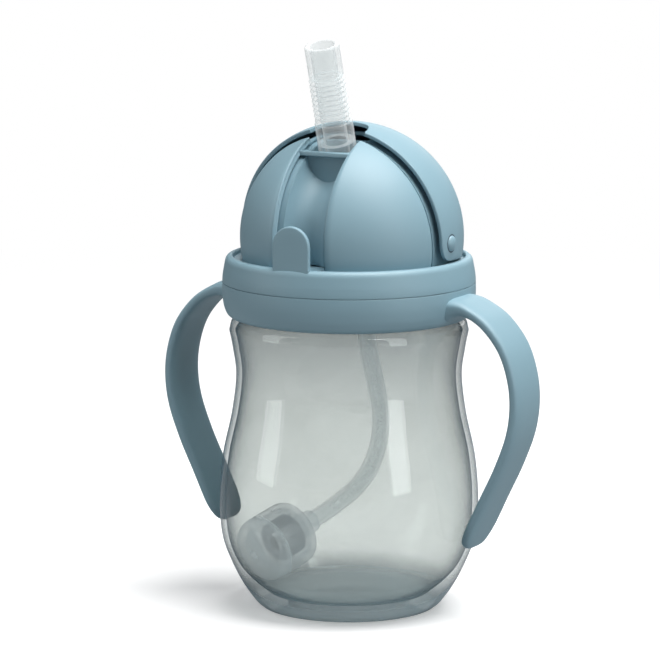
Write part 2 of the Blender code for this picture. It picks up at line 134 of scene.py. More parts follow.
def softened(corners, closed=False, bends=6):
    """A line through (a, b, cut) corners, each cut one rounded by a parabola.

    The parabola leaves one side of the corner that far before it and joins the other side that
    far after it, with the corner as its control point.
    """
    points = np.array([c[:2] for c in corners], float)
    line = []
    for i, (a, b, cut) in enumerate(corners):
        here = points[i]
        if cut == 0 or (not closed and i in (0, len(corners) - 1)):
            line.append(here[None])
            continue
        before, after = points[i - 1], points[(i + 1) % len(corners)]
        t = np.linspace(0, 1, bends)[:, None]
        start = here + (before - here) * cut / np.linalg.norm(before - here)
        end = here + (after - here) * cut / np.linalg.norm(after - here)
        line.append((1 - t) ** 2 * start + 2 * t * (1 - t) * here + t ** 2 * end)
    return np.vstack(line)


def spline(points, steps):
    """Catmull-Rom curve through the points, with that many steps in each span."""
    p = np.asarray(points, float)
    p = np.vstack([2 * p[0] - p[1], p, 2 * p[-1] - p[-2]])
    t = (np.arange(steps) / steps)[:, None]
    spans = [0.5 * (2 * b + t * (c - a) + t ** 2 * (2 * a - 5 * b + 4 * c - d)
                    + t ** 3 * (3 * b - a - 3 * c + d))
             for a, b, c, d in zip(p, p[1:], p[2:], p[3:])]
    return np.vstack(spans + [p[-2:-1]])


def even(line, count):
    """The same line read at that many evenly spaced points along its length."""
    run = np.concatenate([[0], np.cumsum(np.linalg.norm(np.diff(line, axis=0), axis=1))])
    at = np.linspace(0, run[-1], count)
    return np.stack([np.interp(at, run, line[:, k]) for k in range(line.shape[1])], axis=1)


def turned(name, profile, closed=False, steps=ROUND, foot=(0, 0, 0), axis=(0, 0, 1)):
    """A profile of (radius, height) turned about an axis through foot.

    A point is foot + radius * (cos t * u + sin t * v) + height * axis, with u and v at right
    angles to the axis.
    """
    profile = np.asarray(profile, float)
    w = np.array(axis, float) / np.linalg.norm(axis)
    side = (1.0, 0.0, 0.0) if abs(w[0]) < 0.9 else (0.0, 1.0, 0.0)
    v = np.cross(w, side)
    v /= np.linalg.norm(v)
    u = np.cross(v, w)
    turn = np.linspace(0, 2 * np.pi, steps, endpoint=False)
    ring = np.cos(turn)[:, None] * u + np.sin(turn)[:, None] * v
    grid = profile[:, None, :1] * ring[None] + profile[:, None, 1:] * w + np.array(foot, float)
    return solid(name, grid, round_rows=closed, round_columns=True)


def swept(name, line, radius, inner=0.0, sides=28):
    """A round tube or bar along a line: circles that lie across it, the first one turned least.

    The circle's u direction is carried along by removing its part along each new tangent.
    """
    along = np.gradient(line, axis=0)
    along /= np.linalg.norm(along, axis=1, keepdims=True)
    u = np.cross(along[0], (0.3, 0.9, 0.2))
    frames = []
    for t in along:
        u = u - t * np.dot(u, t)
        u = u / np.linalg.norm(u)
        frames.append((u, np.cross(t, u)))
    frames = np.array(frames)
    turn = np.linspace(0, 2 * np.pi, sides, endpoint=False)
    ring = (np.cos(turn)[:, None, None] * frames[:, 0] + np.sin(turn)[:, None, None] * frames[:, 1])
    outer = line + radius * ring
    if inner:
        shell = np.concatenate([outer, (line + inner * ring)[:, ::-1]], axis=1)
        return solid(name, shell.transpose(1, 0, 2), round_rows=True, round_columns=True)
    ends = np.repeat(line[None], sides, axis=0)
    shell = np.concatenate([ends[:, :1], outer, ends[:, -1:]], axis=1)
    return solid(name, shell, round_rows=True)


# ------------------------------------------------------------------ finishes

class Wire:
    """A node's output in a sum: each operator adds a Math node."""

    def __init__(self, finish, socket):
        self.finish, self.socket = finish, socket

    def maths(self, operation, *values, clamp=False):
        made = self.finish.node("Math", {"operation": operation, "use_clamp": clamp},
                                dict(enumerate(values)))
        return Wire(self.finish, made.outputs[0])

    def __add__(self, other):
        return self.maths("ADD", self, other)

    def __sub__(self, other):
        return self.maths("SUBTRACT", self, other)

    def __rsub__(self, other):
        return self.maths("SUBTRACT", other, self)

    def __mul__(self, other):
        return self.maths("MULTIPLY", self, other)

    def __pow__(self, other):
        return self.maths("POWER", self, other)

    __radd__, __rmul__ = __add__, __mul__

    def clamped(self):
        return self.maths("ADD", self, 0.0, clamp=True)

    def ramp(self, low, high):
        """0 below low, 1 above high, and a smooth step between them."""
        made = self.finish.node("MapRange", {"interpolation_type": "SMOOTHSTEP"},
                                {"Value": self, "From Min": low, "From Max": high})
        return Wire(self.finish, made.outputs["Result"])


class Finish:
    """One material and the nodes in it."""

    def __init__(self, name):
        self.material = bpy.data.materials.new(name)
        self.material.use_nodes = True
        self.tree = self.material.node_tree
        self.tree.nodes.clear()
        self.place = self.node("TexCoord").outputs["Object"]

    def node(self, kind, settings=None, inputs=None):
        """Adds a node: its settings are set first, then its sockets get values or links."""
        made = self.tree.nodes.new("ShaderNode" + kind)
        for key, value in (settings or {}).items():
            setattr(made, key, value)
        for key, value in (inputs or {}).items():
            if isinstance(value, Wire):
                value = value.socket
            if isinstance(value, bpy.types.NodeSocket):
                self.tree.links.new(value, made.inputs[key])
            else:
                made.inputs[key].default_value = value
        return made

    def noise(self, size, detail=2.0, rough=0.5, at=None):
        """Noise from 0 to 1 whose patches are about size millimetres across."""
        made = self.node("TexNoise", None, {"Vector": at or self.place, "Scale": 1 / (size * MM),
                                            "Detail": detail, "Roughness": rough})
        return Wire(self, made.outputs["Fac"])

    def axes(self):
        """The place's x, y and z, in metres."""
        made = self.node("SeparateXYZ", None, {"Vector": self.place})
        return [Wire(self, made.outputs[k]) for k in "XYZ"]

    def mix(self, share, a, b):
        """Colour a where share is 0, and b where it is 1."""
        made = self.node("Mix", {"data_type": "RGBA"}, {"Factor": share})
        for socket, value in zip([s for s in made.inputs if s.type == "RGBA"], (a, b)):
            if isinstance(value, tuple):
                socket.default_value = (*value, 1.0)
            else:
                self.tree.links.new(value, socket)
        return [s for s in made.outputs if s.type == "RGBA"][0]

    def bump(self, height, depth, strength=1.0):
        """A normal from a height of 0 to 1 that stands depth millimetres proud."""
        made = self.node("Bump", None, {"Height": height, "Distance": depth * MM,
                                        "Strength": strength})
        return made.outputs["Normal"]

    def done(self, shader):
        self.node("OutputMaterial", None, {"Surface": shader.outputs[0]})
        return self.material


def blue_plastic(name, painted_shade_round_pins=False):
    """Satin moulded plastic: faint clouding, a fine spark-eroded grain and soft handling marks.

    Where asked, a dark ring of painted shade is drawn round the pins' holes, on the outside of the ears, for
    the shade in the gap round each pin.
    """
    f = Finish(name)
    cloud = f.noise(22, 3.0, 0.55)
    grain = f.noise(0.28, 2.0)
    flow = f.noise(5.0, 2.0, 0.4)
    rubbed = f.noise(9.0, 4.0, 0.7).ramp(0.56, 0.74)
    colour = f.mix(cloud, (0.228, 0.366, 0.430), (0.252, 0.398, 0.466))
    if painted_shade_round_pins:
        x, y, z = f.axes()
        off = (y * y + (z - PIVOT_Z * MM) * (z - PIVOT_Z * MM)) ** 0.5
        # painted shade: a dark ring in the gap round each pin head
        gap = (1 - off.ramp(2.65 * MM, 2.85 * MM)) * x.maths("ABSOLUTE", x).ramp(0.030, 0.031)
        colour = f.mix(gap, colour, (0.05, 0.08, 0.11))
    rough = 0.44 + 0.06 * grain + 0.05 * cloud - 0.07 * rubbed
    shader = f.node("BsdfPrincipled", None, {
        "Base Color": colour, "Roughness": rough.clamped(), "Specular IOR Level": 0.62,
        "Normal": f.bump(0.6 * grain + flow, 0.035, 0.55)})
    return f.done(shader)


def clear_shell(name, tint, body, edge, haze, gloss_rough, painted_lid_shadow_and_foot=False, glow=0.0):
    """A clear moulded wall: tinted see-through, deeper at grazing angles, under a gloss.

    The share of body colour is haze face-on and rises with a power of the edge-on factor; the
    mirror share over both rises the same way, from 0.045 face-on.  Where asked, painted shade adds
    body colour high on the wall, for the lid's shadow, and near the foot a lighter blue with a larger
    share stands for the thick base's own denser tint together with painted refraction through it.
    The glow is painted light: body colour given off as emission.
    """
    f = Finish(name)
    z = f.axes()[2]
    facing = Wire(f, f.node("LayerWeight", None, {"Blend": 0.5}).outputs["Facing"])
    cloud = f.noise(14, 3.0, 0.5)
    ripple = f.noise(7.5, 2.0, 0.4)
    share = haze + 0.05 * cloud + edge * facing ** 5.0
    colour = f.mix(cloud, body, tuple(1.12 * c for c in body))
    if painted_lid_shadow_and_foot:
        # painted shade: the wall up under the lid gets more dark body colour, for the lid's shadow
        painted_lid_shadow = z.ramp(0.055, 0.098)
        # near the foot a lighter blue and a larger share: partly the thick base's own denser tint, partly
        # painted refraction through it
        foot = 1 - z.ramp(0.003, 0.010)
        share = share + 0.15 * painted_lid_shadow + 0.34 * foot
        colour = f.mix(foot, colour, (0.50, 0.66, 0.74))
    through = f.node("BsdfTransparent", None, {"Color": (*tint, 1.0)})
    normal = f.bump(ripple, 0.05, 0.35)
    # the emission at glow strength is painted light, standing in for light coming through the wall
    deep = f.node("BsdfPrincipled", None, {
        "Base Color": colour, "Roughness": 0.35, "Specular IOR Level": 0.2,
        "Emission Color": (*body, 1.0), "Emission Strength": glow})
    wall = f.node("MixShader", None, {"Fac": share.clamped(), 1: through.outputs[0],
                                      2: deep.outputs[0]})
    gloss = f.node("BsdfPrincipled", None, {
        "Base Color": (0.93, 0.96, 0.97, 1.0), "Metallic": 1.0, "Roughness": gloss_rough,
        "Normal": normal})
    mirror = 0.045 + 0.40 * facing ** 5.0
    return f.done(f.node("MixShader", None, {"Fac": mirror, 1: wall.outputs[0],
                                             2: gloss.outputs[0]}))


def silicone(name, solid_share, colour, glow=0.0):
    """Soft translucent silicone: milky, with a satin skin and slight clouding.

    The glow stands in for the light that comes through the milky wall from behind.
    """
    f = Finish(name)
    facing = Wire(f, f.node("LayerWeight", None, {"Blend": 0.5}).outputs["Facing"])
    cloud = f.noise(6, 3.0, 0.55)
    skin = f.noise(0.8, 2.0)
    share = solid_share + 0.06 * cloud + 0.62 * facing ** 2.4
    through = f.node("BsdfTransparent", None, {"Color": (0.95, 0.965, 0.965, 1.0)})
    milk = f.node("BsdfPrincipled", None, {
        "Base Color": f.mix(cloud, colour, tuple(min(1.0, 1.08 * c) for c in colour)),
        "Roughness": (0.22 + 0.12 * skin).clamped(), "Specular IOR Level": 0.6,
        "Emission Color": (*colour, 1.0), "Emission Strength": glow,
        "Normal": f.bump(skin, 0.02, 0.4)})
    return f.done(f.node("MixShader", None, {"Fac": share.clamped(), 1: through.outputs[0],
                                             2: milk.outputs[0]}))


def turned_steel():
    """Turned stainless steel: a fine grain and a few stains."""
    f = Finish("turned_steel")
    stain = f.noise(3.0, 3.0, 0.6)
    fine = f.noise(0.15, 2.0)
    shader = f.node("BsdfPrincipled", None, {
        "Base Color": f.mix(stain, (0.50, 0.51, 0.53), (0.66, 0.67, 0.69)), "Metallic": 1.0,
        "Roughness": (0.24 + 0.12 * fine).clamped(), "Normal": f.bump(fine, 0.01, 0.5)})
    return f.done(shader)


blue = blue_plastic("blue_plastic")
blue_cover = blue_plastic("blue_cover_plastic", painted_shade_round_pins=True)
smoke = clear_shell("smoke_plastic", (0.855, 0.87, 0.86), (0.035, 0.115, 0.175), 0.98, 0.015,
                    0.04, painted_lid_shadow_and_foot=True)
clear_float = clear_shell("float_plastic", (0.96, 0.965, 0.965), (0.88, 0.93, 0.95), 0.16, 0.24, 0.08,
                          glow=0.24)
straw_silicone = silicone("straw_silicone", 0.22, (0.93, 0.95, 0.95), glow=0.30)
clear_silicone = silicone("clear_silicone", 0.13, (0.86, 0.88, 0.885), glow=0.10)
seal_silicone = silicone("seal_silicone", 0.75, (0.72, 0.75, 0.76))
steel = turned_steel()


# ------------------------------------------------------------------ bottle

BASE_R, RECESS_R, RECESS_DEPTH, FLOOR_Z = 25.5, 17.0, 0.8, 4.4
BOTTLE_SIDE = [(28.7, 2.2), (32.3, 7.4), (35.8, 14.4), (38.3, 21.8), (39.1, 33.0), (38.0, 46.0),
               (35.2, 59.2), (33.9, 70.6), (34.9, 79.0), (35.9, 84.2)]
WALL, NECK_R, NECK_WALL, SHOULDER_Z, RIM_Z = 1.8, 29.8, 2.0, 88.1, 102.5
PITCH, TURNS, THREAD_Z = 4.0, 1.25, 94.0


def bottle():
    """The pear-shaped wall: its outside is a smooth curve, its inside the same curve moved in."""
    side = spline([(BASE_R + 1.2, 0.35)] + BOTTLE_SIDE, 9)
    inside = spline([(BASE_R - 0.6, 4.9), (30.0, 9.2)] + [(r - WALL, z) for r, z in BOTTLE_SIDE[2:]], 9)
    foot = softened([(0, RECESS_DEPTH, 0), (RECESS_R, RECESS_DEPTH, 0.7),
                     (RECESS_R + 1.2, 0.02, 0.5), (BASE_R, 0.02, 0.7), tuple(side[0]) + (0,)])
    neck_in = NECK_R - NECK_WALL
    top = softened([tuple(side[-1]) + (0,), (35.3, 86.9, 0.7), (33.6, SHOULDER_Z, 0.8),
                    (NECK_R, SHOULDER_Z, 0.4), (NECK_R, RIM_Z, 0.6), (neck_in, RIM_Z, 0.6),
                    (neck_in, SHOULDER_Z + 0.4, 1.0), (33.2, 85.9, 1.2), tuple(inside[-1]) + (0,)])
    floor = softened([tuple(inside[0]) + (0,), (20.0, FLOOR_Z, 1.5), (0, FLOOR_Z, 0)])
    profile = np.vstack([foot, side[1:], top[1:], inside[::-1][1:], floor[1:]])
    place(turned("bottle_wall", profile, steps=192), CUP, smoke, "smoke_plastic", "bottle")


def thread(name, radius, from_z, bead, body, finish, slot_name):
    """A bead wound along a helix, radius * (cos t, sin t), rising one pitch a turn."""
    turn = np.linspace(0, 2 * np.pi * TURNS, 130)
    line = np.stack([radius * np.cos(turn), radius * np.sin(turn),
                     from_z + PITCH * turn / (2 * np.pi)], axis=1)
    place(swept(name, line, bead, sides=14), body, finish, slot_name)


def base_marks():
    """Two moulded rings under the bottle's floor, standing down from the recess."""
    for name, x, y, radius in (("base_mark_gate", -4.5, 10.0, 3.2), ("base_mark_date", 9.5, 8.0, 2.6)):
        ring = softened([(radius - 0.45, 0.9, 0), (radius - 0.4, 0.35, 0.15),
                         (radius + 0.4, 0.35, 0.15), (radius + 0.45, 0.9, 0)], closed=True)
        place(turned(name, ring, closed=True, steps=SMALL_ROUND, foot=(x, y, 0)), CUP, smoke,
              "smoke_plastic")


bottle()
base_marks()
thread("bottle_thread", NECK_R - 0.1, THREAD_Z, 1.0, CUP, smoke, "smoke_plastic")


# ------------------------------------------------------------------ handle ring and handles

def handle_ring():
    """The collar under the lid's rim, tucked in at its lower edge."""
    top = SEAM_Z - 0.06
    profile = softened([(33.6, top, 0.2), (RING_R - 0.05, top, 0.22), (RING_R, 95.0, 1.5), (37.5, 91.5, 1.2),
                        (36.6, 89.3, 0.7), (35.4, 88.5, 0.4), (31.3, 88.5, 0.3), (31.3, 90.0, 0.3),
                        (33.6, 90.0, 0.4)], closed=True)
    place(turned("handle_collar", profile, closed=True), CUP, blue, "blue_plastic", "handle_ring")


HANDLE_WIDTH, HANDLE_THICK = 17.0, 3.8
HANDLE_LINE = [(39.6, 96.9), (43.3, 95.6), (50.1, 91.4), (56.1, 84.2), (59.4, 75.5), (60.4, 66.5),
               (59.1, 57.0), (55.2, 46.5), (50.6, 37.0), (46.7, 28.8), (44.0, 23.4),
               (43.0, 21.2)]


def handle(name, side, node):
    """A strap between an outer and an inner line, with a rounded box for its section.

    The section at each step is the superellipse |a|^n + |b|^n = 1 across the strap's thickness
    and width.  The inner line is the outer one moved in by the thickness, which grows towards
    the root, and both close on a quarter ellipse at the free end.
    """
    outer = even(spline([(35.6, 97.3)] + HANDLE_LINE, 12), 150)
    along = np.gradient(outer, axis=0)
    along /= np.linalg.norm(along, axis=1, keepdims=True)
    inward = np.stack([along[:, 1], -along[:, 0]], axis=1)
    share = np.linspace(0, 1, len(outer))
    root = np.clip(1 - share / 0.12, 0, 1)
    thick = HANDLE_THICK + 4.6 * root ** 1.6
    left = (1 - share) * 88.0
    tip = np.clip(1 - left / 2.0, 0, 1)
    taper = np.clip(1 - left / 9.0, 0, 1)
    ending = np.sqrt(np.clip(1 - tip ** 2, 0, 1))
    half = HANDLE_WIDTH / 2 * (1 + 0.05 * root) * np.sqrt(np.clip(1 - (0.93 * taper) ** 2.6, 0, 1))
    middle = outer + inward * (thick / 2)[:, None]
    turn = np.linspace(0, 2 * np.pi, 56, endpoint=False)
    power = 2 / 3.4
    a = np.sign(np.cos(turn)) * np.abs(np.cos(turn)) ** power
    b = np.sign(np.sin(turn)) * np.abs(np.sin(turn)) ** power
    across = (thick / 2 * ending)[:, None] * a
    ring = middle[:, None] - inward[:, None] * across[..., None]
    wide = half[:, None] * b
    grid = np.stack([side * ring[..., 0], wide, ring[..., 1]], axis=-1)
    caps = [np.repeat(grid[k].mean(axis=0)[None, None], len(turn), axis=1) for k in (0, -1)]
    grid = np.concatenate([caps[0], grid, caps[1]])
    place(solid(name, grid, round_columns=True), CUP, blue, "blue_plastic", node)


handle_ring()
handle("handle_strap_right", 1, "right_handle")
handle("handle_strap_left", -1, "left_handle")


# ------------------------------------------------------------------ lid

def lid_rim():
    """The lid's rounded rim, the groove behind it, the skirt inside and the ceiling."""
    skirt, skirt_out, low, ceiling = 31.45, 33.2, 90.3, 104.6
    profile = softened([(30.0, GROOVE_Z, 0), (34.55, GROOVE_Z, 0.35), (34.8, 106.85, 0.7),
                        (36.75, 106.85, 1.7), (37.45, 103.2, 1.6), (37.85, 100.9, 0.9),
                        (37.95, SEAM_Z + 0.04, 0.22), (skirt_out, SEAM_Z + 0.04, 0.2),
                        (skirt_out, low, 0.4), (skirt, low, 0.4), (skirt, ceiling, 0.4),
                        (27.0, ceiling, 0), (27.0, GROOVE_Z, 0)], closed=True)
    place(turned("lid_rim", profile, closed=True, steps=192), LID, blue, "blue_plastic", "lid_shell")


def turn_from(a, b):
    """The angle between unit vectors, in radians."""
    return np.arccos(np.clip((a * b).sum(axis=-1), -1, 1))


def curved_shell(name, start, end, inner, outer, rows=46, edge=0.45, both=False):
    """A shell between two spheres about the cover's pivot, between two lines of unit vectors.

    Each column runs along the great circle from its start direction to its end direction.  Its
    points go out over the outer sphere and back over the inner one; the wall at the start, and
    at the end where both is set, has its two corners rounded by quarter circles of radius edge.
    """
    angle = np.maximum(turn_from(start, end), 1e-6)
    near = np.linspace(0, 1, rows) ** 1.15
    start_rows = [(edge * (1 - math.sin(t)), inner + edge * (1 - math.cos(t)))
                  for t in np.linspace(0, np.pi / 2, 6)]
    start_rows += [(edge * (1 - math.sin(t)), outer - edge * (1 - math.cos(t)))
                   for t in np.linspace(np.pi / 2, 0, 6)]
    grid = []

    def row(share, radius):
        share = np.clip(share, 0, 1)
        a = np.sin((1 - share) * angle) / np.sin(angle)
        b = np.sin(share * angle) / np.sin(angle)
        unit = a[:, None] * start + b[:, None] * end
        unit /= np.linalg.norm(unit, axis=1, keepdims=True)
        grid.append(unit * radius + np.array([0, 0, PIVOT_Z]))

    first = edge / (outer * angle)
    last = 1 - first if both else np.ones_like(first)
    last = np.maximum(last, 0.5)
    first = np.minimum(first, 0.5)
    for along, radius in start_rows:
        row(np.minimum(along / (outer * angle), 0.5), radius)
    for s in near[1:-1]:
        row(first + s * (last - first), outer)
    if both:
        for along, radius in start_rows[::-1]:
            row(1 - np.minimum(along / (outer * angle), 0.5), radius)
    else:
        row(last, outer)
        row(last, inner)
    for s in near[1:-1][::-1]:
        row(first + s * (last - first), inner)
    return solid(name, np.array(grid), round_rows=True)


def unit(line):
    return line / np.linalg.norm(line, axis=1, keepdims=True)


def dome():
    """The dome under the cover, open at the front: a strip from the channel's edge to the foot.

    The edge runs up the plane x = half width, round a half circle behind, and down again; the
    foot is a circle in the groove.
    """
    r, half_width = LOWER_DOME_R, CHANNEL_HALF + 0.25
    foot_h = GROOVE_Z - 0.2 - PIVOT_Z
    side_r = math.sqrt(r ** 2 - half_width ** 2)
    front = math.pi - math.acos(-foot_h / side_r)
    rear = math.asin(CHANNEL_REAR / side_r)
    t = np.linspace(front, rear, 90)[:, None]
    right = np.hstack([np.full_like(t, half_width), -side_r * np.sin(t), side_r * np.cos(t)])
    b = np.linspace(0, np.pi, 120)[1:-1, None]
    x, y = half_width * np.cos(b), -CHANNEL_REAR + half_width * np.sin(b)
    back = np.hstack([x, y, np.sqrt(r ** 2 - x ** 2 - y ** 2)])
    left = right[::-1] * (-1, 1, 1)
    foot_r = math.sqrt(r ** 2 - foot_h ** 2)
    corner = math.asin(half_width / foot_r)
    level = math.acos(-CHANNEL_REAR / foot_r)
    g = np.concatenate([np.linspace(corner, math.pi - level, 90),
                        np.linspace(math.pi - level, math.pi + level, 120)[1:-1],
                        np.linspace(math.pi + level, 2 * math.pi - corner, 90)])
    foot = np.stack([foot_r * np.sin(g), -foot_r * np.cos(g), np.full_like(g, foot_h)], axis=1)
    edge = np.vstack([right, back, left])
    shell = curved_shell("lid_dome", unit(edge), unit(foot), DOME_IN, r)
    place(shell, LID, blue, "blue_plastic")


def dome_leaf(name, side):
    """One of the two raised leaves beside the channel, on rings of constant height.

    At height h over the pins a ring of radius sqrt(R^2 - h^2) runs from x = channel half width
    to f = ear + lean * h + gap, just in front of the cover's edge.  Its two ends are rounded.
    """
    r, low = DOME_R, GROOVE_Z - 0.2 - PIVOT_Z
    h = np.linspace(low, r, 2000)
    ring = np.sqrt(np.maximum(r ** 2 - h ** 2, 0))
    line = EAR_R + EDGE_LEAN * h + LEAF_GAP
    top = h[np.sqrt(np.maximum(ring ** 2 - CHANNEL_HALF ** 2, 0)) > line][-1] - 0.02
    h = low + (top - low) * np.sin(np.linspace(0, np.pi / 2, 110))
    bend = np.linspace(0, np.pi / 2, 6)
    edge, inner = 0.45, LOWER_DOME_R - 0.35
    ends = [(edge * (1 - math.sin(t)), r - edge * (1 - math.cos(t))) for t in bend[::-1]]
    across = [(0.0, 0.0, inner)] + [(0.0, a, q) for a, q in ends[::-1]]
    across += [(k, 0.0, r) for k in np.linspace(0, 1, 42)[1:-1]]
    across += [(1.0, -a, q) for a, q in ends] + [(1.0, 0.0, inner)]
    f0 = np.sqrt(np.maximum(r ** 2 - h ** 2 - CHANNEL_HALF ** 2, 0))
    f1 = EAR_R + EDGE_LEAN * h + LEAF_GAP
    start = np.arctan2(CHANNEL_HALF, f0)
    end = np.arctan2(np.sqrt(np.maximum(r ** 2 - h ** 2 - f1 ** 2, 0)), f1)
    room = np.maximum(end - start, 0)
    flat = np.sqrt(r ** 2 - h ** 2)
    inset = np.minimum(edge / flat, room / 2)
    columns = []
    for share, shift, radius in across:
        if share in (0.0, 1.0):
            angle = end if share else start
        else:
            angle = start + inset + (room - 2 * inset) * share
        angle = angle + np.sign(shift) * np.minimum(abs(shift) / flat, room / 2)
        scale = radius / r
        columns.append(np.stack([side * flat * np.sin(angle) * scale, -flat * np.cos(angle) * scale,
                                 PIVOT_Z + h * scale], axis=1))
    grid = np.array(columns)
    caps = [np.repeat(grid[:, k:k + 1].mean(axis=0)[None], len(grid), axis=0) for k in (0, -1)]
    grid = np.concatenate([caps[0], grid, caps[1]], axis=1)
    place(solid(name, grid, round_rows=True), LID, blue, "blue_plastic")


def channel_sill():
    """The low wall that closes the groove's inner side across the channel's front."""
    g = np.linspace(-0.29, 0.29, 40)
    section = softened([(DOME_IN - 0.6, GROOVE_Z - 0.6, 0), (DOME_IN - 0.6, 106.2, 0.3),
                        (31.9, 106.2, 0.3), (31.9, GROOVE_Z - 0.6, 0)], closed=True)
    grid = np.stack([section[:, :1] * np.sin(g), -section[:, :1] * np.cos(g),
                     np.repeat(section[:, 1:], len(g), axis=1)], axis=-1)
    caps = [np.repeat(grid[:, k:k + 1].mean(axis=0)[None], len(section), axis=0) for k in (0, -1)]
    grid = np.concatenate([caps[0], grid, caps[1]], axis=1)
    place(solid("channel_sill", grid, round_rows=True), LID, blue, "blue_plastic")


lid_rim()
dome()
dome_leaf("dome_leaf_right", 1)
dome_leaf("dome_leaf_left", -1)
channel_sill()
thread("lid_thread", 31.55, THREAD_Z - PITCH / 2, 0.9, LID, blue, "blue_plastic")


# ------------------------------------------------------------------ flip cover, pins and tab

def flip_cover():
    """The slice of a ball that turns over the spout: a strip from its front edge to its rear one.

    In side view, with f forward and h above the pins, the front edge is f = ear + lean * h and
    runs round the ear's circle below; a rounded notch takes it back behind the spout.  The rear
    edge slopes slightly down from under the ear.
    """
    r = COVER_OUT
    top = (-EAR_R * EDGE_LEAN + math.sqrt((1 + EDGE_LEAN ** 2) * r ** 2 - EAR_R ** 2)) / (1 + EDGE_LEAN ** 2)
    bend = np.linspace(np.pi, np.pi / 2, 40)
    ear = np.stack([EAR_R * np.sin(bend), EAR_R * np.cos(bend)], axis=1)
    rise = top * np.sin(np.linspace(0, np.pi / 2, 170))[1:]
    front = np.vstack([ear, np.stack([EAR_R + EDGE_LEAN * rise, rise], axis=1)])
    x = np.sqrt(np.maximum(r ** 2 - (front ** 2).sum(axis=1), 0))
    back = np.clip(1 - (x / NOTCH_HALF) ** 4, 0, 1) ** 0.5
    back = np.where(front[:, 1] > 20, back, 0)
    f = front[:, 0] * (1 - back) - NOTCH_BACK * back
    h = np.sqrt(np.maximum(r ** 2 - x ** 2 - f ** 2, 0))
    h = np.where(back > 0, h, front[:, 1])
    half = np.stack([x, -f, h], axis=1)
    turn = np.linspace(0, np.pi / 2, len(half))
    rear_f = (r + 0.2) * np.sin(turn)
    rear_h = -EAR_R - 0.038 * rear_f
    rear_f = np.minimum(rear_f, np.sqrt(r ** 2 - rear_h ** 2))
    rear_x = np.sqrt(np.maximum(r ** 2 - rear_f ** 2 - rear_h ** 2, 0))
    rear = np.stack([rear_x, rear_f, rear_h], axis=1)
    flip = np.array([-1, 1, 1])
    edge = np.vstack([half, half[::-1][1:] * flip])
    end = np.vstack([rear, rear[::-1][1:] * flip])
    shell = curved_shell("flip_cover_shell", unit(edge), unit(end), COVER_IN, COVER_OUT,
                         rows=80, edge=0.35, both=True)
    place(shell, COVER, blue_cover, "blue_plastic", "flip_cover")


def hinge_pin(name, side, node):
    """A domed pin head on a shaft, turned about X."""
    high = COVER_OUT + 1.0
    crown = np.linspace(0, np.pi / 2, 12)
    head = np.stack([2.4 * np.sin(crown), high - 1.3 * (1 - np.cos(crown))], axis=1)
    rest = softened([(2.4, 34.0, 0), (2.4, 33.0, 0.2), (2.0, 33.0, 0.1), (2.0, 29.6, 0.2), (0, 29.6, 0)])
    pin = turned(name, np.vstack([head, rest]), steps=48, foot=(0, 0, PIVOT_Z), axis=(side, 0, 0))
    place(pin, LID, blue, "blue_plastic", node)


def catch_tab():
    """The tongue: a half-round outline at several depths, its rim rounded by a quarter circle."""
    half, low, top, back, thick, edge = 6.0, 105.2, 119.5, 34.65, 1.65, 0.5
    bend = np.linspace(0, np.pi, 60)
    arch = np.stack([np.cos(bend), np.sin(bend)], axis=1)
    sides = np.linspace(low, top - half, 14)
    rows = []
    layers = [(edge * (1 - math.cos(t)), edge * (1 - math.sin(t)))
              for t in np.linspace(np.pi / 2, 0, 6)]
    layers += [(inset, thick - depth) for inset, depth in layers[::-1]]
    for inset, depth in layers:
        r = half - inset
        outline = np.vstack([np.stack([np.full_like(sides, r), sides], axis=1)[:-1],
                             arch * r + (0, top - half),
                             np.stack([np.full_like(sides, -r), sides[::-1]], axis=1)[1:]])
        rows.append(np.stack([outline[:, 0], np.full(len(outline), -(back + thick - depth)),
                              outline[:, 1]], axis=1))
    grid = np.array(rows)
    middle = np.zeros(grid.shape[1:])
    middle[:, 2] = np.minimum(grid[0, :, 2], top - half)
    caps = []
    for k in (0, -1):
        spine = middle.copy()
        spine[:, 1] = grid[k, 0, 1]
        inner = spine + 0.5 * (grid[k] - spine)
        inner[:, 2] = grid[k, :, 2] * 0.5 + spine[:, 2] * 0.5
        caps.append(np.array([spine, inner]))
    grid = np.concatenate([caps[0], grid, caps[1][::-1]])
    place(solid("catch_tongue", grid, round_columns=True), TAB, blue, "blue_plastic", "catch_tab")


flip_cover()
hinge_pin("pin_right", 1, "right_hinge_pin")
hinge_pin("pin_left", -1, "left_hinge_pin")
catch_tab()


# ------------------------------------------------------------------ straw cradle

def soft_min(a, b, width):
    """The smaller of two values, rounded over a width where they cross."""
    share = np.clip(0.5 + (b - a) / (2 * width), 0, 1)
    return b * (1 - share) + a * share - width * share * (1 - share)


def cradle_trough():
    """The channel's floor: ledges with a round trough between them, bent round the pivot.

    The distance from the pivot is the smaller of the ledge's and of the trough's, which is its
    path's radius less the height of a circle over x.
    """
    x = np.linspace(-11.5, 11.5, 140)
    dip = np.where(np.abs(x) < TROUGH_R, np.sqrt(np.clip(TROUGH_R ** 2 - x ** 2, 0, None)),
                   -3.0 * (np.abs(x) - TROUGH_R))
    level = soft_min(np.full_like(x, LEDGE_R), TROUGH_PATH_R - dip, 0.45)
    level = np.where(np.abs(x) > 8.6, LEDGE_R, level)
    phi = np.radians(np.linspace(22, 106, 130))
    top = np.stack([np.repeat(x[None], len(phi), axis=0), -level * np.sin(phi)[:, None],
                    PIVOT_Z + level * np.cos(phi)[:, None]], axis=-1)
    under = np.minimum(level - 1.6, 25.5)
    low = np.stack([np.repeat(x[None], len(phi), axis=0), -under * np.sin(phi)[:, None],
                    PIVOT_Z + under * np.cos(phi)[:, None]], axis=-1)[:, ::-1]
    ring = np.concatenate([top, low], axis=1)
    caps = [np.repeat(ring[k:k + 1].mean(axis=1, keepdims=True), ring.shape[1], axis=1) for k in (0, -1)]
    grid = np.concatenate([caps[0], ring, caps[1]])
    place(solid("cradle_trough", grid, round_columns=True), LID, blue, "blue_plastic", "straw_cradle")


